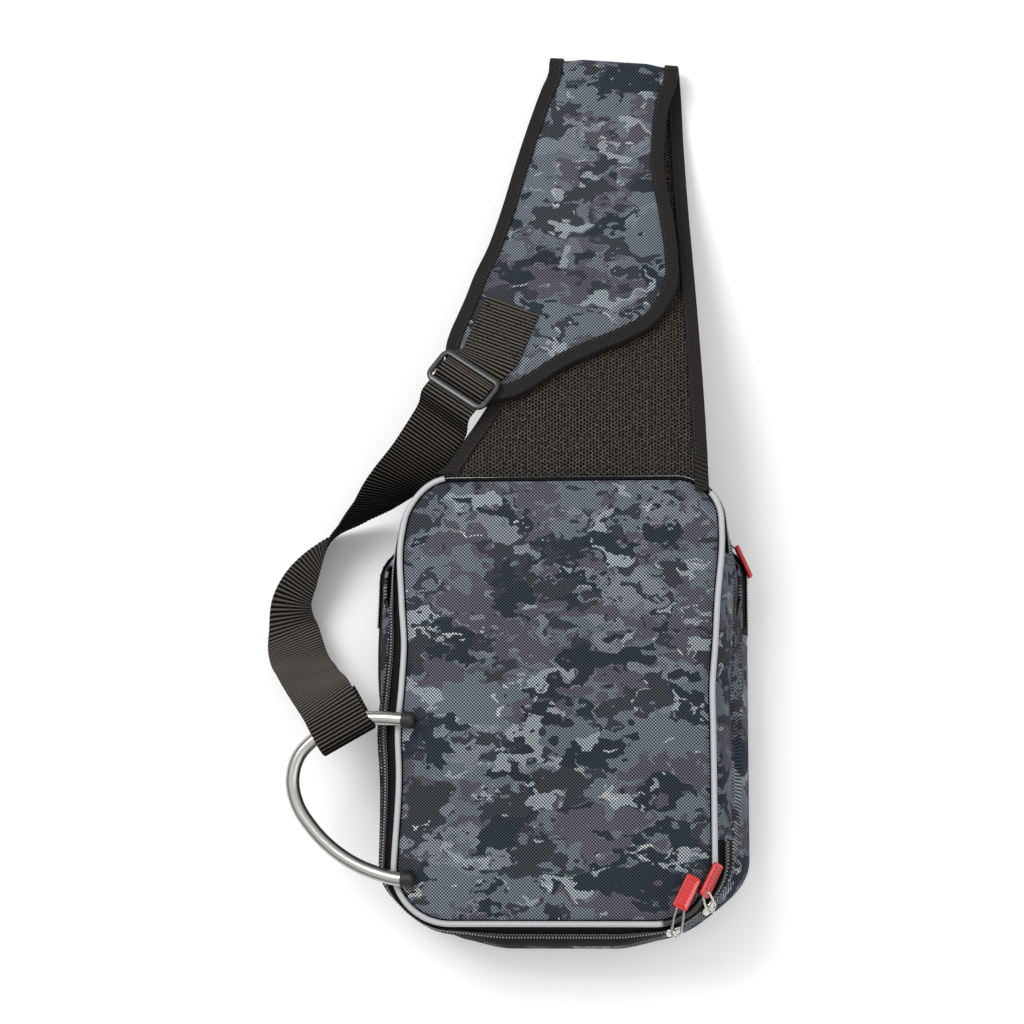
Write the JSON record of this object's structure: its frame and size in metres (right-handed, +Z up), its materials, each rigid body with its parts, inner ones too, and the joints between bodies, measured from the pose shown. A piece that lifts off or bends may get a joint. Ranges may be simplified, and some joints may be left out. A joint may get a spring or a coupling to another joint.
{
  "type": "fishing tackle sling bag",
  "caption": "Soft camouflage sling bag for fishing tackle: zipped box body, front pocket, padded mesh-lined strap folded over, webbing strap with adjuster, and a steel ring at the side.",
  "frame": {"origin": "Middle of the flat underside, on the front pocket's cloth, where the bag lies on the floor.", "axes": "+Z up out of the floor; +Y from the bag's body towards the folded strap; +X to the side with the cloth hinge, away from the steel ring."},
  "size_m": [0.3419, 0.6297, 0.1047],
  "materials": {
    "camo_cloth": "woven synthetic cloth with a blotched camouflage print in blue-greys and warm greys, over foam",
    "mesh_cloth": "black-brown air mesh over foam",
    "black_cloth": "black ribbed tape, matte",
    "zip_teeth": "black moulded teeth with small highlights",
    "piping": "light grey reflective piping",
    "webbing": "dark grey ribbed webbing",
    "adjuster": "black glossy plastic",
    "ring_steel": "satin steel",
    "boot_rubber": "black rubber",
    "zinc": "plated zinc and steel wire",
    "pull_red": "red moulded rubber"
  },
  "bodies": {
    "root": {"back_panel": "camo_cloth", "piping": "piping", "zip_band": "black_cloth", "zip_teeth": "zip_teeth", "hinge": "camo_cloth", "side_wall": "camo_cloth", "divider": "camo_cloth", "pocket_wall": "camo_cloth", "pocket_panel": "camo_cloth", "strap_outer": "camo_cloth", "strap_pad": "mesh_cloth", "strap_binding": "black_cloth", "webbing": "webbing", "tri_glide": "adjuster", "ring": "ring_steel", "boot_upper": "boot_rubber", "boot_lower": "boot_rubber", "slider_1": "zinc", "slider_2": "zinc", "slider_3": "zinc", "pull_tab_1": "pull_red", "pull_tab_2": "pull_red", "pull_tab_3": "pull_red", "pull_wire_1": "zinc", "pull_wire_2": "zinc", "pull_wire_3": "zinc", "pocket_teeth": "zip_teeth"}
  },
  "joints": []
}
